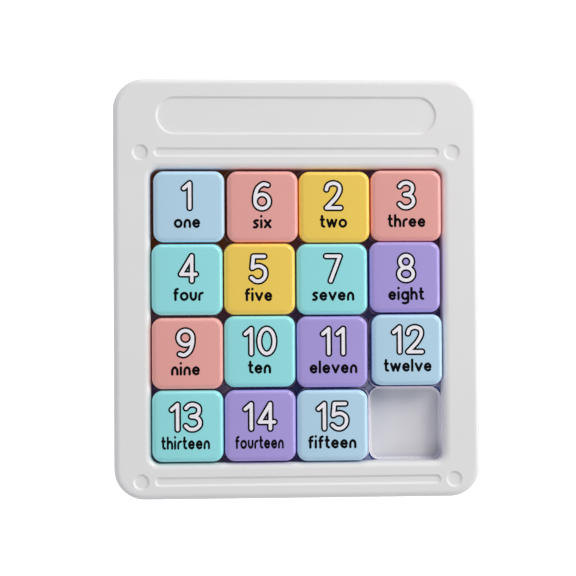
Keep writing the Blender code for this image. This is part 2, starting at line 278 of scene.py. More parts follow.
def fill(bm, *rings):
    """Fills the level area inside the first ring and outside the others."""
    edges = []
    for loop in rings:
        for i, vert in enumerate(loop):
            other = loop[(i + 1) % len(loop)]
            edges.append(bm.edges.get((vert, other)) or bm.edges.new((vert, other)))
    bmesh.ops.triangle_fill(bm, use_beauty=True, use_dissolve=False, edges=edges)


def hollow_bank(width, depth, crest):
    """(inset, drop) pairs of a bank with a small round crest and a wide round foot."""
    pairs = [(-SUPPORT, 0.0)]
    for step in range(CREST_STEPS + 1):
        angle = math.pi / 2 * step / CREST_STEPS
        pairs.append((crest * math.sin(angle), crest * (1 - math.cos(angle))))
    for step in range(1, ROUND_STEPS + 1):
        angle = math.pi / 2 * step / ROUND_STEPS
        inset = crest + (width - crest) * (1 - math.cos(angle))
        pairs.append((inset, crest + (depth - crest) * math.sin(angle)))
    pairs.append((width + SUPPORT, depth))
    return pairs


def pocket(bm, outline_of, top_z, profile):
    """A closed hollow; outline_of(inset) gives its outline for the profile's insets. Returns its mouth."""
    levels = [(outline_of(inset), top_z - drop) for inset, drop in profile]
    mouth, bottom = skin(bm, levels)
    fill(bm, bottom)
    return mouth


def finished_mesh(name, bm):
    bmesh.ops.recalc_face_normals(bm, faces=bm.faces)
    mesh = bpy.data.meshes.new(name)
    bm.to_mesh(mesh)
    bm.free()
    mesh.shade_smooth()
    mesh.set_sharp_from_angle(angle=SMOOTH_ANGLE)
    return mesh


def closed_mesh(name, levels):
    """One closed skin with its first and last outline filled."""
    bm = bmesh.new()
    first, last = skin(bm, levels)
    fill(bm, first)
    fill(bm, last)
    return finished_mesh(name, bm)


def add_piece(name, mesh, material, body, nodes=(), location=(0.0, 0.0, 0.0)):
    """Puts a piece in place on its body, standing for the CAD nodes given."""
    piece = bpy.data.objects.new(name, mesh)
    bpy.context.scene.collection.objects.link(piece)
    piece.location = location
    if not mesh.materials:
        mesh.materials.append(None)
    piece.material_slots[0].link = "OBJECT"
    piece.material_slots[0].material = material
    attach(piece, body)
    if nodes:
        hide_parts(*nodes)
    return piece


# The tray


def slot_outline(size, inset, steps, y):
    """A slot with round ends."""
    height = size[1] - 2 * inset
    return rounded_rect(size[0] - 2 * inset, height, height / 2 * SLOT_ROUNDNESS, steps, (0.0, y))


def add_face(bm, outer, inner):
    """The flat face with the title panel, two grooves and four dimples sunk in it."""
    mouths = []
    recesses = [
        lambda inset: slot_outline(TITLE_SIZE, inset - RECESS_GROW, LARGE_STEPS, TITLE_Y),
        lambda inset: slot_outline(GROOVE_SIZE, inset - RECESS_GROW, SMALL_STEPS, UPPER_Y),
        lambda inset: slot_outline(GROOVE_SIZE, inset - RECESS_GROW, SMALL_STEPS, LOWER_Y),
    ]
    for outline_of in recesses:
        mouths.append(pocket(bm, outline_of, FACE_Z, soft_step(RECESS_EDGE, RECESS_DEPTH)))
    for centre in screw_centres():
        def dimple(inset, centre=centre):
            return circle(DIMPLE_DIAMETER + 2 * (RECESS_GROW - inset), SMALL_STEPS, centre)

        mouths.append(pocket(bm, dimple, FACE_Z, soft_step(RECESS_EDGE, RECESS_DEPTH)))
    fill(bm, outer, inner, *mouths)


def add_floor(bm, wall):
    """The window's floor with its sixteen dishes and the low spots between their corners."""
    mouths = []
    for centre in cell_centres():
        def dish(inset, centre=centre):
            side = DISH_SIDE - 2 * inset
            return rounded_rect(side, side, DISH_CORNER - inset, SMALL_STEPS, centre)

        mouths.append(pocket(bm, dish, RIM_Z, hollow_bank(DISH_BANK, DISH_DEPTH, DISH_CREST)))
    edge = WINDOW_SIDE / 2 - WALL_FIN
    lines = [-edge, -CELL_PITCH, 0.0, CELL_PITCH, edge]
    for column, x in enumerate(lines):
        for row, y in enumerate(lines):
            quarters = [0, 1, 2, 3]
            if column in (0, 4) and row in (0, 4):
                continue
            if column == 0:
                quarters = [3, 0]
            if column == 4:
                quarters = [1, 2]
            if row == 0:
                quarters = [0, 1]
            if row == 4:
                quarters = [2, 3]

            def crossing(inset, centre=(x, WINDOW_Y + y), quarters=tuple(quarters)):
                return crossing_outline(inset, centre, quarters)

            mouths.append(pocket(bm, crossing, RIM_Z, soft_step(CROSSING_EDGE, CROSSING_DEPTH, WALL_FIN)))
    fill(bm, wall, *mouths)


def add_underside(bm, outer, inner):
    """The hollow's ceiling, with four hanging screw bosses and their blind bores."""
    bosses = []
    for centre in screw_centres():
        boss = circle(BOSS_DIAMETER, SMALL_STEPS, centre)
        bore = circle(BORE_DIAMETER, SMALL_STEPS, centre)
        under_face_z = FACE_Z - FACE_THICKNESS
        levels = [(boss, under_face_z), (boss, SKIRT_Z), (bore, SKIRT_Z), (bore, BORE_TOP_Z)]
        top, bottom = skin(bm, levels)
        fill(bm, bottom)
        bosses.append(top)
    fill(bm, outer, inner, *bosses)


def make_tray(material):
    bm = bmesh.new()
    under_face_z = FACE_Z - FACE_THICKNESS
    levels = [(tray_outline(inset), FACE_Z - drop) for inset, drop in quarter_round(EDGE_FILLET)]
    for inset, rise in reversed(quarter_round(FOOT_FILLET)):
        levels.append((tray_outline(inset), UNDERSIDE_Z + rise))
    levels.append((tray_outline(OUTER_WALL), UNDERSIDE_Z))
    levels.append((tray_outline(OUTER_WALL), SEAT_Z))
    levels.append((tray_outline(OUTER_WALL + LEDGE), SEAT_Z))
    levels.append((tray_outline(OUTER_WALL + LEDGE), under_face_z))
    face_outer, ceiling_outer = skin(bm, levels)

    levels = [(window_outline(inset), FACE_Z - drop) for inset, drop in quarter_round(EDGE_FILLET)]
    levels.append((window_outline(0.0), RIM_Z))
    face_inner, wall = skin(bm, levels)

    levels = [
        (window_outline(WINDOW_WALL), under_face_z),
        (window_outline(WINDOW_WALL), SKIRT_Z),
        (window_outline(-GAP), SKIRT_Z),
        (window_outline(-GAP), FLOOR_UNDER_Z),
    ]
    ceiling_inner, floor_under = skin(bm, levels)
    fill(bm, floor_under)
    add_face(bm, face_outer, face_inner)
    add_floor(bm, wall)
    add_underside(bm, ceiling_outer, ceiling_inner)
    mesh = finished_mesh("tray_shell", bm)
    add_piece("tray_shell", mesh, material, "tray", ["tray_frame"])


# Under the floor


def rounded_plate(name, outline_of, low_z, high_z, radius):
    """A flat plate whose two edges are rounded; outline_of(inset) gives its outline."""
    edge = quarter_round(radius, PLATE_STEPS)
    levels = [(outline_of(inset), high_z - drop) for inset, drop in edge]
    levels += [(outline_of(inset), low_z + rise) for inset, rise in reversed(edge)]
    return closed_mesh(name, levels)


def make_sheet(material):
    low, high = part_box("steel_sheet")
    size = high - low
    centre = ((low.x + high.x) / 2, (low.y + high.y) / 2)

    def outline_of(inset):
        return rounded_rect(size.x - 2 * inset, size.y - 2 * inset, SHEET_CORNER, SMALL_STEPS, centre)

    mesh = rounded_plate("steel_plate", outline_of, low.z, high.z, SHEET_EDGE)
    add_piece("steel_plate", mesh, material, "tray", ["steel_sheet"])


def solid_object(name, mesh):
    obj = bpy.data.objects.new(name, mesh)
    bpy.context.scene.collection.objects.link(obj)
    return obj


def combined(name, base, operation, solids):
    """The base mesh cut by, or joined with, each of the closed meshes in turn."""
    target = solid_object(name, base)
    helpers = []
    for number, solid in enumerate(solids):
        helper = solid_object(f"{name}_helper_{number}", solid)
        modifier = target.modifiers.new(helper.name, "BOOLEAN")
        modifier.solver = "MANIFOLD"
        modifier.operation = operation
        modifier.object = helper
        helpers.append(helper)
    depsgraph = bpy.context.evaluated_depsgraph_get()
    mesh = bpy.data.meshes.new_from_object(target.evaluated_get(depsgraph))
    for obj in [target, *helpers]:
        bpy.data.objects.remove(obj, do_unlink=True)
    mesh.shade_smooth()
    mesh.set_sharp_from_angle(angle=SMOOTH_ANGLE)
    return mesh


def prism(points, low_z, high_z):
    return closed_mesh("prism", [(points, low_z), (points, high_z)])


def make_cover(material):
    """The cover plate, its holes and pockets on the outside and its crossing ribs inside."""
    low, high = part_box("back_cover")
    sheet_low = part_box("steel_sheet")[0]
    plate_top_z = UNDERSIDE_Z + COVER_TOP_RISE

    def outline_of(inset):
        return tray_outline(OUTER_WALL + GAP + inset)

    mesh = rounded_plate("cover_plate", outline_of, low.z, plate_top_z, COVER_EDGE)
    corner = RIB_WIDTH / 3
    ribs = []
    for k in (-1, 0, 1):
        shift = k * RIB_SPACING
        across = rounded_rect(RIB_SPAN, RIB_WIDTH, corner, PLATE_STEPS, (0.0, WINDOW_Y + shift))
        along = rounded_rect(RIB_WIDTH, RIB_SPAN - 2 * GAP, corner, PLATE_STEPS, (shift, WINDOW_Y))
        ribs.append(prism(across, plate_top_z - GAP, sheet_low.z - GAP))
        ribs.append(prism(along, plate_top_z - GAP, sheet_low.z - 2 * GAP))
    mesh = combined("cover_ribbed", mesh, "UNION", ribs)
    holes = []
    for centre in screw_centres():
        holes.append(prism(circle(BORE_DIAMETER, SMALL_STEPS, centre), low.z - GAP, high.z + GAP))
        wide = circle(SCREW_HEAD_DIAMETER + 2 * GAP, SMALL_STEPS, centre)
        holes.append(prism(wide, low.z - GAP, low.z + COUNTERBORE_DEPTH))
    for number in range(1, 5):
        foot_low, foot_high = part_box(f"rubber_foot_{number}")
        middle = (foot_low + foot_high) / 2
        wide = circle(foot_high.x - foot_low.x + 2 * GAP, SMALL_STEPS, middle.xy)
        holes.append(prism(wide, low.z - GAP, low.z + FOOT_POCKET))
    mesh = combined("cover_plate", mesh, "DIFFERENCE", holes)
    add_piece("cover_plate", mesh, material, "tray", ["back_cover"])


def screw_mesh(length):
    """A pan head with a cross recess below a blunt shank; z is 0 where the head meets the cover."""
    levels = []
    for step in range(HEAD_STEPS + 1):
        angle = math.pi / 2 * step / HEAD_STEPS
        diameter = SCREW_HEAD_DIAMETER * (CROWN_SHARE + (1 - CROWN_SHARE) * math.sin(angle))
        drop = CROWN_DROP * (1 - math.cos(angle))
        levels.append((circle(diameter, SMALL_STEPS), drop - SCREW_HEAD_HEIGHT))
    levels.append((circle(SCREW_HEAD_DIAMETER, SMALL_STEPS), 0.0))
    levels.append((circle(SCREW_SHANK_DIAMETER, SMALL_STEPS), 0.0))
    levels.append((circle(SCREW_SHANK_DIAMETER, SMALL_STEPS), length - SCREW_SHANK_DIAMETER / 2))
    levels.append((circle(SCREW_TIP_DIAMETER, SMALL_STEPS), length))
    head = closed_mesh("screw", levels)
    slots = []
    crossed = ((DRIVE_LENGTH, DRIVE_WIDTH, 1.0), (DRIVE_WIDTH, DRIVE_LENGTH, SECOND_DRIVE_SHARE))
    for width, height, share in crossed:
        outline = rounded_rect(width, height, DRIVE_WIDTH / 3, PLATE_STEPS)
        slots.append(prism(outline, -2 * SCREW_HEAD_HEIGHT, -SCREW_HEAD_HEIGHT + DRIVE_DEPTH * share))
    return combined("screw", head, "DIFFERENCE", slots)


def make_screws(material):
    low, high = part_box("cover_screw_1")
    seat_z = low.z + SCREW_HEAD_HEIGHT
    mesh = screw_mesh(high.z - seat_z)
    for number in range(1, 5):
        node = f"cover_screw_{number}"
        low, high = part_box(node)
        middle = (low + high) / 2
        place = (middle.x, middle.y, seat_z)
        add_piece(f"screw_{number}", mesh, material, "tray", [node], place)


def make_feet(material):
    low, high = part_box("rubber_foot_1")
    diameter = high.x - low.x

    def outline_of(inset):
        return circle(diameter - 2 * inset, SMALL_STEPS)

    levels = [(outline_of(inset), rise) for inset, rise in quarter_round(FOOT_EDGE, FOOT_STEPS)]
    levels.append((outline_of(0.0), high.z - low.z))
    mesh = closed_mesh("foot", levels)
    for number in range(1, 5):
        node = f"rubber_foot_{number}"
        low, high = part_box(node)
        middle = (low + high) / 2
        place = (middle.x, middle.y, low.z)
        add_piece(f"foot_{number}", mesh, material, "tray", [node], place)


# The tiles: z is 0 at the bottom of the skirt, and the origin is in the middle of the tile


def tile_outline(side, inset):
    return rounded_rect(side - 2 * inset, side - 2 * inset, TILE_CORNER - inset, SMALL_STEPS)


def tile_shell_mesh(side, height):
    """A hollow cap, open below, with a stud inside that holds the magnet down."""
    ceiling_z = height - TILE_ROOF
    magnet_top_z = GAP + BASE_THICKNESS + GAP + MAGNET_THICKNESS
    stud = circle(STUD_DIAMETER, SMALL_STEPS)
    levels = [
        (stud, magnet_top_z + GAP),
        (stud, ceiling_z),
        (tile_outline(side, TILE_WALL), ceiling_z),
        (tile_outline(side, TILE_WALL), 0.0),
    ]
    for inset, rise in quarter_round(TILE_CHAMFER, PLATE_STEPS):
        levels.append((tile_outline(side, inset), rise))
    for inset, drop in reversed(quarter_round(TILE_FILLET)):
        levels.append((tile_outline(side, inset), height - drop))
    return closed_mesh("tile_shell", levels)


def tile_plate_mesh(side):
    """The plate that closes the cap, with a round cup for the magnet."""
    floor_z = GAP + BASE_THICKNESS
    cup_inside = circle(MAGNET_DIAMETER + 2 * GAP, SMALL_STEPS)
    cup_outside = circle(MAGNET_DIAMETER + 2 * GAP + 2 * CUP_WALL, SMALL_STEPS)
    plate = tile_outline(side, TILE_WALL + GAP)
    levels = [
        (cup_inside, floor_z),
        (cup_inside, floor_z + CUP_HEIGHT),
        (cup_outside, floor_z + CUP_HEIGHT),
        (cup_outside, floor_z),
        (plate, floor_z),
    ]
    for inset, rise in reversed(quarter_round(BASE_EDGE, PLATE_STEPS)):
        levels.append((tile_outline(side, TILE_WALL + GAP + inset), GAP + rise))
    return closed_mesh("tile_plate", levels)


def magnet_mesh():
    low_z = GAP + BASE_THICKNESS + GAP
    return rounded_plate(
        "magnet",
        lambda inset: circle(MAGNET_DIAMETER - 2 * inset, SMALL_STEPS),
        low_z,
        low_z + MAGNET_THICKNESS,
        MAGNET_EDGE,
    )


# Prints, in millimetres
# A stroke is a row of (x, y) points with a smooth curve through them; two points make a straight one.
# A plate is a small convex polygon, and a print is the area that its plates cover.

NUMBER_Y = -1.3
WORD_Y = -7.35
# How far each tile's print sits from its even place
PRINT_SHIFT = {
    1: (-0.65, 0.05),
    2: (-0.4, 0.2),
    3: (0.05, -0.05),
    4: (0.35, 0.1),
    5: (-0.45, -0.2),
    6: (-0.2, -0.1),
    7: (0.25, -0.05),
    8: (0.3, -0.55),
    9: (-0.7, -0.1),
    10: (-0.2, -0.15),
    11: (0.3, -0.05),
    12: (0.1, -0.15),
    13: (-0.8, -0.5),
    14: (-0.4, -0.5),
    15: (-0.2, -0.5),
}
OUTLINE = 0.42
FILL_INSET = 0.19
DIGIT_STROKE = 1.5
DIGIT_GAP = 0.75
LETTER_STROKE = 0.85
LETTER_GAP = 0.3
X_HEIGHT = 3.15
TALL_HEIGHT = 4.5
LINE_ROOM = 16.5
CURVE_STEPS = 6
OVAL_POINTS = 12
CAP_STEPS = 3
NEAR = 1e-5

WORDS = (
    "one", "two", "three", "four", "five", "six", "seven", "eight",
    "nine", "ten", "eleven", "twelve", "thirteen", "fourteen", "fifteen",
)


def oval(x, y, radius_x, radius_y):
    """Points of a closed stroke."""
    points = []
    for step in range(OVAL_POINTS):
        angle = math.tau * step / OVAL_POINTS
        points.append((x + radius_x * math.cos(angle), y + radius_y * math.sin(angle)))
    return points


# A plain rounded face: each digit's advance width, open strokes and closed strokes
DIGITS = {
    "0": (6.6, [], [oval(3.3, 4.95, 2.55, 4.2)]),
    "1": (4.2, [[(3.0, 0.75), (3.0, 9.15)], [(1.0, 7.4), (3.0, 9.15)]], []),
    "2": (
        6.5,
        [
            [
                (0.9, 7.0), (1.5, 8.5), (3.3, 9.15), (5.1, 8.4),
                (5.4, 6.6), (4.2, 4.3), (2.4, 2.3), (0.9, 0.75),
            ],
            [(0.9, 0.75), (5.7, 0.75)],
        ],
        [],
    ),
    "3": (
        6.4,
        [
            [(0.9, 7.9), (2.0, 8.9), (3.6, 9.1), (5.1, 8.2), (5.2, 6.5), (4.2, 5.4), (2.6, 5.1)],
            [(2.6, 5.1), (4.4, 4.8), (5.5, 3.6), (5.4, 2.0), (3.9, 0.85), (2.1, 0.85), (0.8, 1.9)],
        ],
        [],
    ),
    "4": (6.6, [[(4.5, 0.75), (4.5, 9.15)], [(4.5, 9.15), (0.8, 3.0)], [(0.8, 3.0), (5.9, 3.0)]], []),
    "5": (
        6.4,
        [
            [(5.2, 9.15), (1.5, 9.15)],
            [(1.5, 9.15), (1.1, 5.2)],
            [(1.1, 5.2), (2.3, 5.8), (3.9, 5.8), (5.4, 4.6), (5.4, 2.4), (4.0, 0.9), (2.2, 0.85), (0.8, 1.9)],
        ],
        [],
    ),
    "6": (
        6.5,
        [[(5.2, 8.7), (3.6, 9.0), (1.8, 7.6), (0.95, 5.2), (0.85, 3.2)]],
        [oval(3.25, 3.15, 2.4, 2.4)],
    ),
    "7": (6.3, [[(0.8, 9.15), (5.5, 9.15)], [(5.5, 9.15), (2.3, 0.75)]], []),
    "8": (6.5, [], [oval(3.25, 7.1, 2.05, 2.05), oval(3.25, 2.9, 2.45, 2.15)]),
    "9": (
        6.5,
        [[(5.65, 6.7), (5.55, 4.7), (4.7, 2.3), (2.9, 0.9), (1.3, 1.2)]],
        [oval(3.25, 6.75, 2.4, 2.4)],
    ),
}


def lower_case():
    """The letters used, each with its advance width, open strokes and closed strokes."""
    half = LETTER_STROKE / 2
    top = X_HEIGHT - half
    high = TALL_HEIGHT - half
    stem = [(half, half), (half, high)]
    arch = [(half, half), (half, 1.5), (0.66, 2.3), (1.3, top), (1.94, 2.3), (2.14, 1.5), (2.14, half)]
    cup = [(x, X_HEIGHT - y) for x, y in arch]
    bowl = [
        (2.3, 1.6), (2.1, 2.3), (1.4, top), (0.7, 2.3),
        (half, 1.6), (0.7, 0.85), (1.45, half), (2.15, 0.75),
    ]
    snake = [(1.75, top), (1.0, top), (0.55, 2.2), (1.1, 1.65), (1.65, 1.1), (1.2, half), (0.45, half)]
    tail = [(2.45, top), (2.45, -0.3), (2.1, -0.8), (1.3, -1.05), (0.7, -0.9)]
    zigzag = [(half, top), (1.15, half), (1.93, top), (2.7, half), (3.43, top)]
    return {
        "e": (2.8, [[(half, 1.6), (2.3, 1.6)], bowl], []),
        "f": (1.9, [[(0.75, half), (0.75, 3.3), (0.95, 3.85), (1.5, high)], [(half, 2.7), (1.4, 2.7)]], []),
        "g": (2.9, [tail], [oval(1.45, 1.57, 1.0, 1.13)]),
        "h": (2.6, [arch, stem], []),
        "i": (0.95, [[(half, half), (half, top)], [(half, 4.1), (half, 4.2)]], []),
        "l": (0.95, [stem], []),
        "n": (2.6, [arch], []),
        "o": (3.0, [], [oval(1.5, 1.57, 1.06, 1.13)]),
        "r": (1.8, [[(half, half), (half, 1.7), (0.75, 2.45), (1.5, top)]], []),
        "s": (2.2, [snake], []),
        "t": (1.9, [[(0.8, 4.0), (0.8, 1.3), (0.95, 0.7), (1.5, half)], [(half, 2.8), (1.4, 2.8)]], []),
        "u": (2.6, [cup], []),
        "v": (2.9, [[(half, top), (1.45, half)], [(2.45, top), (1.45, half)]], []),
        "w": (3.9, [list(pair) for pair in zip(zigzag, zigzag[1:])], []),
        "x": (2.7, [[(half, top), (2.25, half)], [(half, half), (2.25, top)]], []),
    }


def smooth_path(points, closed):
    """Closely spaced samples of a smooth curve through the points."""
    if len(points) == 2:
        return list(points)
    count = len(points)
    samples = []
    for i in range(count if closed else count - 1):
        if closed:
            four = [points[(i + k) % count] for k in (-1, 0, 1, 2)]
        else:
            four = [points[min(max(i + k, 0), count - 1)] for k in (-1, 0, 1, 2)]
        for step in range(CURVE_STEPS):
            t = step / CURVE_STEPS
            sample = []
            for a, b, c, d in zip(*four):
                bend = 2 * a - 5 * b + 4 * c - d + t * (3 * b - a - 3 * c + d)
                sample.append(b + 0.5 * t * (c - a + t * bend))
            samples.append(tuple(sample))
    if not closed:
        samples.append(points[-1])
    return samples


def stroke_plates(points, closed, width):
    """Four-sided plates along a stroke, with a round plate at each end of an open one."""
    samples = smooth_path(points, closed)
    count = len(samples)
    half = width / 2
    sides = []
    for i, (x, y) in enumerate(samples):
        if closed:
            before, after = samples[i - 1], samples[(i + 1) % count]
        else:
            before, after = samples[max(i - 1, 0)], samples[min(i + 1, count - 1)]
        length = math.hypot(after[0] - before[0], after[1] - before[1])
        across_x = -(after[1] - before[1]) / length * half
        across_y = (after[0] - before[0]) / length * half
        sides.append(((x + across_x, y + across_y), (x - across_x, y - across_y)))
    plates = []
    for i in range(count if closed else count - 1):
        left, right = sides[i]
        next_left, next_right = sides[(i + 1) % count]
        plates.append([right, next_right, next_left, left])
    if not closed:
        plates += [circle(width, CAP_STEPS, end) for end in (samples[0], samples[-1])]
    return plates


def line_plates(text, glyphs, gap, width):
    """A line's plates, centred on x = 0 and standing on y = 0, narrowed where it would leave the tile."""
    total = sum(glyphs[sign][0] for sign in text) + gap * (len(text) - 1)
    stretch = min(1.0, LINE_ROOM / total)
    start = -total / 2
    plates = []
    for sign in text:
        advance, open_strokes, closed_strokes = glyphs[sign]
        drawn = []
        for stroke in open_strokes:
            drawn.extend(stroke_plates(stroke, False, width))
        for stroke in closed_strokes:
            drawn.extend(stroke_plates(stroke, True, width))
        for plate in drawn:
            plates.append([((x + start) * stretch, y) for x, y in plate])
        start += advance + gap
    return plates


def shifted(plates, across, along):
    return [[(x + across, y + along) for x, y in plate] for plate in plates]


def flat_print(name, plates, low_z, high_z):
    """One thin closed layer over the area that the plates cover."""
    corners = []
    faces = []
    for plate in plates:
        points = [Vector(point) for point in plate]
        hull = [points[i] for i in convex_hull_2d(points)]
        faces.append(list(range(len(corners), len(corners) + len(hull))))
        corners.extend(hull)
    verts, _, triangles, _, _, sources = delaunay_2d_cdt(corners, [], faces, 0, NEAR)
    bm = bmesh.new()
    top = [bm.verts.new((x * MM, y * MM, high_z)) for x, y in verts]
    for triangle, source in zip(triangles, sources):
        if source:
            bm.faces.new([top[i] for i in triangle])
    for vert in [vert for vert in bm.verts if not vert.link_faces]:
        bm.verts.remove(vert)
    skirt = bmesh.ops.extrude_face_region(bm, geom=bm.faces[:])
    moved = [item for item in skirt["geom"] if isinstance(item, bmesh.types.BMVert)]
    bmesh.ops.translate(bm, verts=moved, vec=(0.0, 0.0, low_z - high_z))
    return finished_mesh(name, bm)


def black_print(number):
    """The number's dark outline and the word below it."""
    across, along = PRINT_SHIFT[number]
    outline = line_plates(str(number), DIGITS, DIGIT_GAP, DIGIT_STROKE + 2 * OUTLINE)
    word = line_plates(WORDS[number - 1], lower_case(), LETTER_GAP, LETTER_STROKE)
    plates = shifted(outline, across, along + NUMBER_Y) + shifted(word, across, along + WORD_Y)
    return flat_print(f"black_{number}", plates, -INK_SINK, BLACK_INK)


def white_print(number):
    """The number's white inside."""
    across, along = PRINT_SHIFT[number]
    inside = line_plates(str(number), DIGITS, DIGIT_GAP, DIGIT_STROKE - 2 * FILL_INSET)
    return flat_print(f"white_{number}", shifted(inside, across, along + NUMBER_Y), -INK_SINK, WHITE_INK)


# Materials

# How far a surface looks for cover, and how open it is when it counts as lit: covered places get painted
# shade, and only open crests get the painted highlight
GAP_REACH = 6.0 * MM
GAP_SAMPLES = 4
GAP_OPENING = 0.4
FLOOR_OPENING = (0.33, 0.48)
RIM_OPENING = (0.38, 0.52)
# Painted light on a tile: a painted glow on its sides near the top in the gap beside it, and a painted
# highlight on its rounded edge
PAINTED_TILE_GAP_GLOW = 0.5
GLOW_DEPTH = 4.5 * MM
PAINTED_TILE_RIM_HIGHLIGHT = 0.2
# Painted light on the tray: a painted glow in gap colours in covered places, a painted highlight on the
# dishes' crests and painted light on the right wall
PAINTED_TRAY_GAP_GLOW = 0.13
PAINTED_CREST_HIGHLIGHT = 0.3
PAINTED_WALL_LIGHT = 0.07
RIM_BAND = 0.04 * MM
FLOOR_SHADE = 2.0 * MM
# Painted shade across a tile: its colour is darker to the left and lighter to the right, as the light falls
PAINTED_TILE_SLANT = 0.03
TILE_REACH = 12.0 * MM

# Grain of the plastics, from slow clouds to the mould's texture
PLASTIC_TONE = 0.03
SPECK_TONE = 0.7 * PLASTIC_TONE
SPECK_SHARE = 0.4
CLOUD_SIZE = 18.0 * MM
WAVE_SIZE = 6.0 * MM
PATCH_SIZE = 4.0 * MM
SPECK_SIZE = 0.9 * MM
GRAIN_SIZE = 0.12 * MM
WAVE_HEIGHT = 0.2 * MM
GRAIN_HEIGHT = 0.01 * MM
PLASTIC_IOR = 1.5
# Grain of the metals, the rubber and the inks
DRAWN_LINES = 0.15 * MM
DUST_SIZE = 1.5 * MM
RUBBER_GRAIN = 0.25 * MM
RUBBER_RELIEF = 0.03 * MM
INK_CLOUDS = 0.8 * MM
INK_GRAIN = 0.2 * MM
INK_SHINE = 0.06

TRAY_COLOUR = (0.80, 0.80, 0.78)
# Painted shade on the dishes' floor: a little darker and more violet below the rim
PAINTED_FLOOR_SHADE = (0.945, 0.925, 0.98)
# Warm colour of the painted highlight on the crests and of the painted light on the right wall
PAINTED_GLOW_COLOUR = (0.85, 0.62, 0.80)
# Painted shade with painted bounce light on the covered floor between the tiles: warm brown towards the top
# left, beside the yellow and coral tiles, and navy towards the bottom right, beside the sky and violet tiles
TRAY_GAP_SHADE_UPPER = (0.20, 0.055, 0.008, 1.0)
TRAY_GAP_SHADE_LOWER = (0.006, 0.050, 0.26, 1.0)
# The share of the window's height, against its width, in the change between the two painted gap shade colours
GAP_SHADE_TURN = 0.6
COVER_COLOUR = (0.74, 0.74, 0.735)
BASE_COLOUR = (0.6, 0.6, 0.6)
SHEET_COLOUR = (0.55, 0.56, 0.57)
SCREW_COLOUR = (0.6, 0.6, 0.6)
MAGNET_COLOUR = (0.62, 0.61, 0.58)
FOOT_COLOUR = (0.03, 0.03, 0.032)
BLACK_COLOUR = (0.003, 0.003, 0.004)
WHITE_COLOUR = (0.86, 0.845, 0.88)
# How far the drawn lines of a metal are stretched along each axis
ROLLED = (0.05, 1.0, 1.0)
EVEN = (1.0, 1.0, 1.0)

# Each tile plastic's own colour in the open, and the darker, more saturated colour painted as shade where a
# gap covers it
TILE_AND_GAP_SHADE_COLOURS = {
    "sky": ((0.469, 0.686, 0.815), (0.04, 0.13, 0.42)),
    "coral": ((0.808, 0.380, 0.337), (0.60, 0.08, 0.05)),
    "yellow": ((0.885, 0.625, 0.106), (0.78, 0.26, 0.005)),
    "mint": ((0.301, 0.753, 0.757), (0.05, 0.36, 0.38)),
    "violet": ((0.405, 0.332, 0.708), (0.08, 0.04, 0.42)),
}


class Nodes:
    """A small helper that adds shader nodes to a new material and links them."""

    def __init__(self, name):
        self.material = bpy.data.materials.new(name)
        self.material.use_nodes = True
        self.tree = self.material.node_tree
        self.shader = self.tree.nodes["Principled BSDF"]

    def add(self, kind, values=None, **settings):
        node = self.tree.nodes.new(kind)
        for key, value in settings.items():
            setattr(node, key, value)
        for key, value in (values or {}).items():
            self.put(node.inputs[key], value)
        return node

    def put(self, socket, value):
        """Gives an input a fixed value or the output of another node."""
        if isinstance(value, bpy.types.NodeSocket):
            self.tree.links.new(value, socket)
        else:
            socket.default_value = value

    def set(self, name, value):
        self.put(self.shader.inputs[name], value)

    def coords(self):
        return self.add("ShaderNodeTexCoord").outputs["Object"]

    def part(self, vector, axis):
        """One axis of a vector."""
        return self.add("ShaderNodeSeparateXYZ", {"Vector": vector}).outputs[axis]

    def facing(self, axis):
        """How much the surface faces along an axis, from -1 to 1."""
        return self.part(self.add("ShaderNodeNewGeometry").outputs["Normal"], axis)

    def noise(self, size, detail=2.0, roughness=0.5, vector=None):
        """Noise in 0..1 whose features are about size metres across."""
        values = {
            "Scale": 1.0 / size,
            "Detail": detail,
            "Roughness": roughness,
            "Vector": vector or self.coords(),
        }
        return self.add("ShaderNodeTexNoise", values).outputs["Fac"]

    def spread(self, value, low, high):
        """Maps 0..1 to low..high."""
        values = {"Value": value, "To Min": low, "To Max": high}
        return self.add("ShaderNodeMapRange", values).outputs["Result"]

    def between(self, value, low, high):
        """0 up to low and 1 from high on."""
        values = {"Value": value, "From Min": low, "From Max": high}
        return self.add("ShaderNodeMapRange", values).outputs["Result"]

    def ramp(self, axis, low, high):
        """0 up to low and 1 from high on, along an axis of the piece's own frame."""
        return self.between(self.part(self.coords(), axis), low, high)

    def maths(self, operation, first, second, clamp=True):
        values = {0: first, 1: second}
        return self.add("ShaderNodeMath", values, operation=operation, use_clamp=clamp).outputs["Value"]

    def openness(self):
        """How much of the space near a surface is free, from 0 in a crack to 1."""
        values = {"Distance": GAP_REACH}
        return self.add("ShaderNodeAmbientOcclusion", values, samples=GAP_SAMPLES).outputs["AO"]

    def slope_band(self):
        """1 on surfaces that slope by sixty degrees, 0 on level and on upright ones."""
        up = self.facing("Z")
        peak = self.maths("MULTIPLY", 4.0, up, clamp=False)
        return self.maths("MULTIPLY", peak, self.maths("SUBTRACT", 1.0, up))

    def blend(self, factor, first, second):
        node = self.add("ShaderNodeMix", data_type="RGBA")
        for index, value in ((0, factor), (6, first), (7, second)):
            self.put(node.inputs[index], value)
        return node.outputs[2]

    def bump(self, height, strength, distance, normal=None):
        values = {"Height": height, "Strength": strength, "Distance": distance}
        if normal:
            values["Normal"] = normal
        return self.add("ShaderNodeBump", values).outputs["Normal"]


def shade(colour, factor):
    return (colour[0] * factor, colour[1] * factor, colour[2] * factor, 1.0)


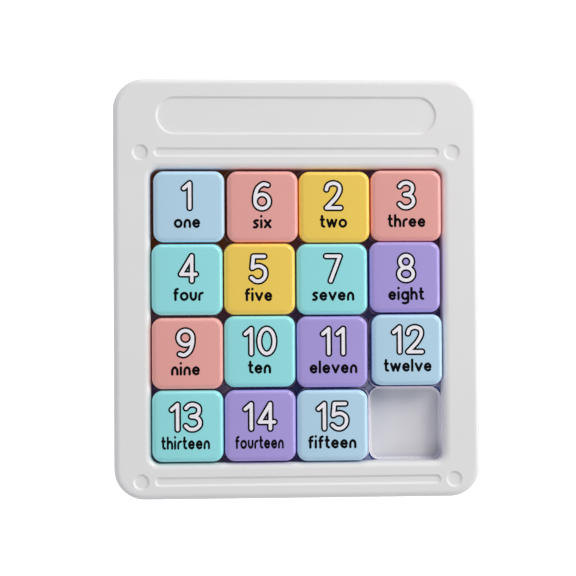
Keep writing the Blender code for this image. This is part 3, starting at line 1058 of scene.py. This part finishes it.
def plastic(name, colour, roughness):
    """Moulded plastic with slow shade changes and a fine mould grain, as its nodes and its colour socket."""
    nodes = Nodes(name)
    clouds = nodes.noise(CLOUD_SIZE, detail=3.0)
    specks = nodes.noise(SPECK_SIZE, detail=4.0)
    slow = nodes.blend(clouds, shade(colour, 1 - PLASTIC_TONE), shade(colour, 1 + PLASTIC_TONE))
    fine = nodes.blend(specks, shade(colour, 1 - SPECK_TONE), shade(colour, 1 + SPECK_TONE))
    open_colour = nodes.blend(SPECK_SHARE, slow, fine)
    nodes.set("Base Color", open_colour)
    patches = nodes.noise(PATCH_SIZE, detail=5.0)
    nodes.set("Roughness", nodes.spread(patches, roughness - 0.05, roughness + 0.05))
    waves = nodes.bump(nodes.noise(WAVE_SIZE, detail=1.0), 0.06, WAVE_HEIGHT)
    nodes.set("Normal", nodes.bump(nodes.noise(GRAIN_SIZE, detail=3.0), 0.12, GRAIN_HEIGHT, waves))
    nodes.set("IOR", PLASTIC_IOR)
    return nodes, open_colour


def tray_plastic():
    """Pale plastic with painted light: painted shade and tile-coloured painted bounce on the floor between
    the tiles, a darker violet painted shade on the dishes, painted highlights on the crests round the open
    cell and painted warm light on the right wall.
    """
    nodes, colour = plastic("tray_plastic", TRAY_COLOUR, 0.32)
    seen = nodes.openness()
    above_floor = nodes.ramp("Z", RIM_Z, RIM_Z + FLOOR_SHADE)
    lit = nodes.maths("MAXIMUM", nodes.between(seen, *FLOOR_OPENING), above_floor)

    # Painted shade and painted bounce light: covered floor takes the dark gap colours, running from navy at
    # the bottom right to warm brown at the top left
    upward = nodes.spread(nodes.ramp("Y", WINDOW_Y - CELL_PITCH, WINDOW_Y + CELL_PITCH), 0.0, GAP_SHADE_TURN)
    leftward = nodes.spread(nodes.ramp("X", CELL_PITCH, -CELL_PITCH), 0.0, 1 - GAP_SHADE_TURN)
    gap_shade_colour = nodes.blend(nodes.maths("ADD", upward, leftward), TRAY_GAP_SHADE_LOWER, TRAY_GAP_SHADE_UPPER)
    # Painted shade: the floor below the rim is darker and more violet
    floor_shade_factors = {0: colour, 1: PAINTED_FLOOR_SHADE}
    floor = nodes.add("ShaderNodeVectorMath", floor_shade_factors, operation="MULTIPLY").outputs["Vector"]
    nodes.set("Base Color", nodes.blend(lit, gap_shade_colour, nodes.blend(above_floor, floor, colour)))
    # Painted shade: reflection is turned off where the floor is covered
    nodes.set("Specular IOR Level", nodes.spread(lit, 0.0, 0.5))

    # Painted highlight: a glow along the dishes' crests where they lie open
    over_band = nodes.ramp("Z", RIM_Z + RIM_BAND, RIM_Z)
    on_crest = nodes.maths("MULTIPLY", nodes.ramp("Z", RIM_Z - RIM_BAND, RIM_Z), over_band)
    crest_highlight_mask = nodes.maths("MULTIPLY", nodes.between(seen, *RIM_OPENING), on_crest)
    crest = nodes.spread(crest_highlight_mask, 0.0, PAINTED_CREST_HIGHLIGHT)
    # Painted light: a warm glow on walls that face left in the right part of the window, rising from the
    # floor
    leftward_face = nodes.between(nodes.facing("X"), 0.0, -1.0)
    right_side = nodes.maths("MULTIPLY", leftward_face, nodes.ramp("X", 0.0, CELL_PITCH))
    right_wall = nodes.maths("MULTIPLY", right_side, nodes.ramp("Z", RIM_Z + RIM_BAND, RIM_Z + FLOOR_SHADE))
    wall = nodes.spread(right_wall, 0.0, PAINTED_WALL_LIGHT)
    # Emission: a painted glow in the gap colours where the floor is covered, and the painted highlight and
    # painted light in the open
    nodes.set("Emission Color", nodes.blend(lit, gap_shade_colour, (*PAINTED_GLOW_COLOUR, 1.0)))
    bright = nodes.maths("MAXIMUM", crest, wall)
    nodes.set("Emission Strength", nodes.maths("MAXIMUM", bright, nodes.spread(lit, PAINTED_TRAY_GAP_GLOW, 0.0)))
    return nodes.material


def cap_plastic(name, tint, gap_shade_colour, height):
    """Pastel plastic with painted light: a darker, more saturated painted shade in the gaps, a painted glow
    on its sides near the top in the gaps, a painted highlight on its rounded edge and a painted slant of
    light across it.
    """
    nodes, colour = plastic(name, tint, 0.2)
    # Painted shade: the colour darkens towards the left and lightens towards the right
    across = nodes.spread(nodes.ramp("X", -TILE_REACH, TILE_REACH), 1 - PAINTED_TILE_SLANT, 1 + PAINTED_TILE_SLANT)
    painted_slant = {0: colour, "Scale": across}
    colour = nodes.add("ShaderNodeVectorMath", painted_slant, operation="SCALE").outputs["Vector"]
    # Painted shade: covered places take the darker gap colour
    covered = nodes.spread(nodes.between(nodes.openness(), 0.0, GAP_OPENING), 1.0, 0.0)
    nodes.set("Base Color", nodes.blend(covered, colour, (*gap_shade_colour, 1.0)))
    # Painted glow on the sides near the top where a gap covers them
    near_top = nodes.ramp("Z", height - GLOW_DEPTH, height - TILE_FILLET)
    glow = nodes.spread(nodes.maths("MULTIPLY", covered, near_top), 0.0, PAINTED_TILE_GAP_GLOW)
    # Painted highlight: a glow in the tile's own colour on its sloping rounded edge
    edge = nodes.slope_band()
    nodes.set("Emission Color", nodes.blend(edge, (*gap_shade_colour, 1.0), (*tint, 1.0)))
    nodes.set("Emission Strength", nodes.maths("MAXIMUM", nodes.spread(edge, 0.0, PAINTED_TILE_RIM_HIGHLIGHT), glow))
    return nodes.material


def metal(name, colour, roughness, stretch):
    """Metal with fine drawn lines along X."""
    nodes = Nodes(name)
    mapping = nodes.add("ShaderNodeMapping", {"Vector": nodes.coords(), "Scale": stretch})
    lines = nodes.noise(DRAWN_LINES, detail=3.0, vector=mapping.outputs["Vector"])
    nodes.set("Base Color", nodes.blend(lines, shade(colour, 0.9), shade(colour, 1.05)))
    nodes.set("Metallic", 1.0)
    nodes.set("Roughness", nodes.spread(lines, roughness - 0.06, roughness + 0.08))
    nodes.set("Normal", nodes.bump(lines, 0.15, GRAIN_HEIGHT))
    return nodes.material


def rubber(name, colour):
    """Dull rubber with a little dust in its grain."""
    nodes = Nodes(name)
    dust = nodes.noise(DUST_SIZE, detail=5.0, roughness=0.6)
    nodes.set("Base Color", nodes.blend(dust, shade(colour, 0.8), shade(colour, 1.7)))
    nodes.set("Roughness", nodes.spread(dust, 0.7, 0.9))
    nodes.set("Normal", nodes.bump(nodes.noise(RUBBER_GRAIN, detail=3.0), 0.3, RUBBER_RELIEF))
    return nodes.material


def ink(name, colour, roughness, tone):
    """Printed ink: slightly uneven cover and a fine screen texture."""
    nodes = Nodes(name)
    cover = nodes.noise(INK_CLOUDS, detail=4.0, roughness=0.6)
    nodes.set("Base Color", nodes.blend(cover, shade(colour, 1 - tone), shade(colour, 1 + tone)))
    nodes.set("Roughness", nodes.spread(cover, roughness - 0.06, roughness + 0.06))
    nodes.set("Normal", nodes.bump(nodes.noise(INK_GRAIN), 0.15, GRAIN_HEIGHT))
    nodes.set("Specular IOR Level", INK_SHINE)
    return nodes.material


# All the tiles


def make_tiles():
    """Every tile's cap, base plate, magnet and print."""
    low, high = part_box("tile_01_cap")
    side = high.x - low.x
    height = high.z - low.z - WHITE_INK
    shell = tile_shell_mesh(side, height)
    plate = tile_plate_mesh(side)
    disc = magnet_mesh()
    grey = plastic("tile_base_plastic", BASE_COLOUR, 0.5)[0].material
    nickel = metal("magnet_nickel", MAGNET_COLOUR, 0.22, EVEN)
    black = ink("ink_black", BLACK_COLOUR, 0.38, 0.35)
    white = ink("ink_white", WHITE_COLOUR, 0.42, 0.04)
    for colour, numbers in TILE_COLOURS.items():
        cap = cap_plastic(f"{colour}_plastic", *TILE_AND_GAP_SHADE_COLOURS[colour], height)
        for number in numbers:
            body = f"tile_{number:02d}"
            low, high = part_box(f"{body}_cap")
            place = ((low.x + high.x) / 2, (low.y + high.y) / 2, low.z)
            add_piece(f"{body}_shell", shell, cap, body, [f"{body}_cap"], place)
            add_piece(f"{body}_plate", plate, grey, body, [f"{body}_base"], place)
            add_piece(f"{body}_disc", disc, nickel, body, [f"{body}_magnet"], place)
            top = (place[0], place[1], low.z + height)
            add_piece(f"{body}_print_black", black_print(number), black, body, location=top)
            add_piece(f"{body}_print_white", white_print(number), white, body, location=top)


# Stage, light and camera

FLOOR_SIDE = 6.0
CAMERA_DISTANCE = 0.600
CAMERA_AIM = Vector((-3.3 * MM, 0.0, FACE_Z))
CAMERA_TILT_X = math.radians(-1.085)
CAMERA_TILT_Y = math.radians(3.680)
CAMERA_ROLL = math.radians(0.272)
CAMERA_LENS = 110.28
SENSOR_WIDTH = 36.0
CLIP_START = 0.05
CLIP_END = 50.0

FLOOR_SQUARES = 8
FLOOR_CLOUDS = 40.0 * MM
FLOOR_GLOW = 0.3
FLOOR_SEEN_GLOW = 1.0
SKY_COLOUR = (0.95, 0.93, 1.10)
SKY_STRENGTH = 0.25
BACKDROP = (0.72, 0.71, 0.72)

LIGHT_DISTANCE = 1.5
LIGHT_SIDE = 0.7
WARM = (1.02, 1.0, 0.96)
WHITE = (1.0, 1.0, 1.0)
# Each light's direction from the object, its power and its colour
LIGHTS = {
    "key": ((0.525, 0.525, 0.669), 12.0, WARM),
    "right_rim": ((0.94, 0.0, 0.342), 7.6, WHITE),
    "top_rim": ((0.0, 0.94, 0.342), 4.4, WHITE),
    "fill": ((-0.525, -0.525, 0.669), 5.3, WHITE),
}


def make_floor():
    mesh = bpy.data.meshes.new("studio_floor")
    bm = bmesh.new()
    bmesh.ops.create_grid(bm, x_segments=FLOOR_SQUARES, y_segments=FLOOR_SQUARES, size=FLOOR_SIDE / 2)
    bm.to_mesh(mesh)
    bm.free()
    floor = bpy.data.objects.new("studio_floor", mesh)
    bpy.context.scene.collection.objects.link(floor)
    nodes = Nodes("studio_floor")
    nodes.set("Base Color", nodes.blend(nodes.noise(FLOOR_CLOUDS), shade(WHITE, 0.9), shade(WHITE, 0.92)))
    nodes.set("Roughness", 0.9)
    nodes.set("Emission Color", (*WHITE, 1.0))
    direct = nodes.add("ShaderNodeLightPath").outputs["Is Camera Ray"]
    nodes.set("Emission Strength", nodes.spread(direct, FLOOR_GLOW, FLOOR_SEEN_GLOW))
    mesh.materials.append(nodes.material)


def make_world():
    """Cool sky light that the camera sees as a pale backdrop."""
    world = bpy.data.worlds.new("studio")
    world.use_nodes = True
    tree = world.node_tree
    sky = tree.nodes["Background"]
    sky.inputs["Color"].default_value = (*SKY_COLOUR, 1.0)
    sky.inputs["Strength"].default_value = SKY_STRENGTH
    backdrop = tree.nodes.new("ShaderNodeBackground")
    backdrop.inputs["Color"].default_value = (*BACKDROP, 1.0)
    mix = tree.nodes.new("ShaderNodeMixShader")
    rays = tree.nodes.new("ShaderNodeLightPath")
    tree.links.new(rays.outputs["Is Camera Ray"], mix.inputs["Fac"])
    tree.links.new(sky.outputs["Background"], mix.inputs[1])
    tree.links.new(backdrop.outputs["Background"], mix.inputs[2])
    tree.links.new(mix.outputs["Shader"], tree.nodes["World Output"].inputs["Surface"])
    bpy.context.scene.world = world


def add_light(name, direction, power, colour):
    """A square area light that faces the object from the given direction."""
    data = bpy.data.lights.new(name, "AREA")
    data.shape = "SQUARE"
    data.size = LIGHT_SIDE
    data.energy = power
    data.color = colour
    light = bpy.data.objects.new(name, data)
    bpy.context.scene.collection.objects.link(light)
    away = Vector(direction).normalized()
    light.location = Vector((0.0, 0.0, FACE_Z)) + away * LIGHT_DISTANCE
    light.rotation_mode = "QUATERNION"
    light.rotation_quaternion = away.to_track_quat("Z", "Y")


def make_camera():
    data = bpy.data.cameras.new("camera")
    data.sensor_width = SENSOR_WIDTH
    data.lens = CAMERA_LENS
    data.clip_start = CLIP_START
    data.clip_end = CLIP_END
    camera = bpy.data.objects.new("camera", data)
    bpy.context.scene.collection.objects.link(camera)
    turn = (
        Matrix.Rotation(CAMERA_ROLL, 3, "Z")
        @ Matrix.Rotation(CAMERA_TILT_Y, 3, "Y")
        @ Matrix.Rotation(CAMERA_TILT_X, 3, "X")
    ).transposed()
    camera.location = CAMERA_AIM + turn @ Vector((0.0, 0.0, CAMERA_DISTANCE))
    camera.rotation_mode = "QUATERNION"
    camera.rotation_quaternion = turn.to_quaternion()
    bpy.context.scene.camera = camera


def make_studio():
    make_floor()
    make_world()
    for name, (direction, power, colour) in LIGHTS.items():
        add_light(name, direction, power, colour)
    make_camera()
    bpy.context.scene.view_settings.view_transform = "Standard"
    bpy.context.scene.view_settings.look = "None"


make_tray(tray_plastic())
make_sheet(metal("sheet_steel", SHEET_COLOUR, 0.32, ROLLED))
make_cover(plastic("cover_plastic", COVER_COLOUR, 0.5)[0].material)
make_screws(metal("screw_steel", SCREW_COLOUR, 0.25, EVEN))
make_feet(rubber("foot_rubber", FOOT_COLOUR))
make_tiles()
make_studio()
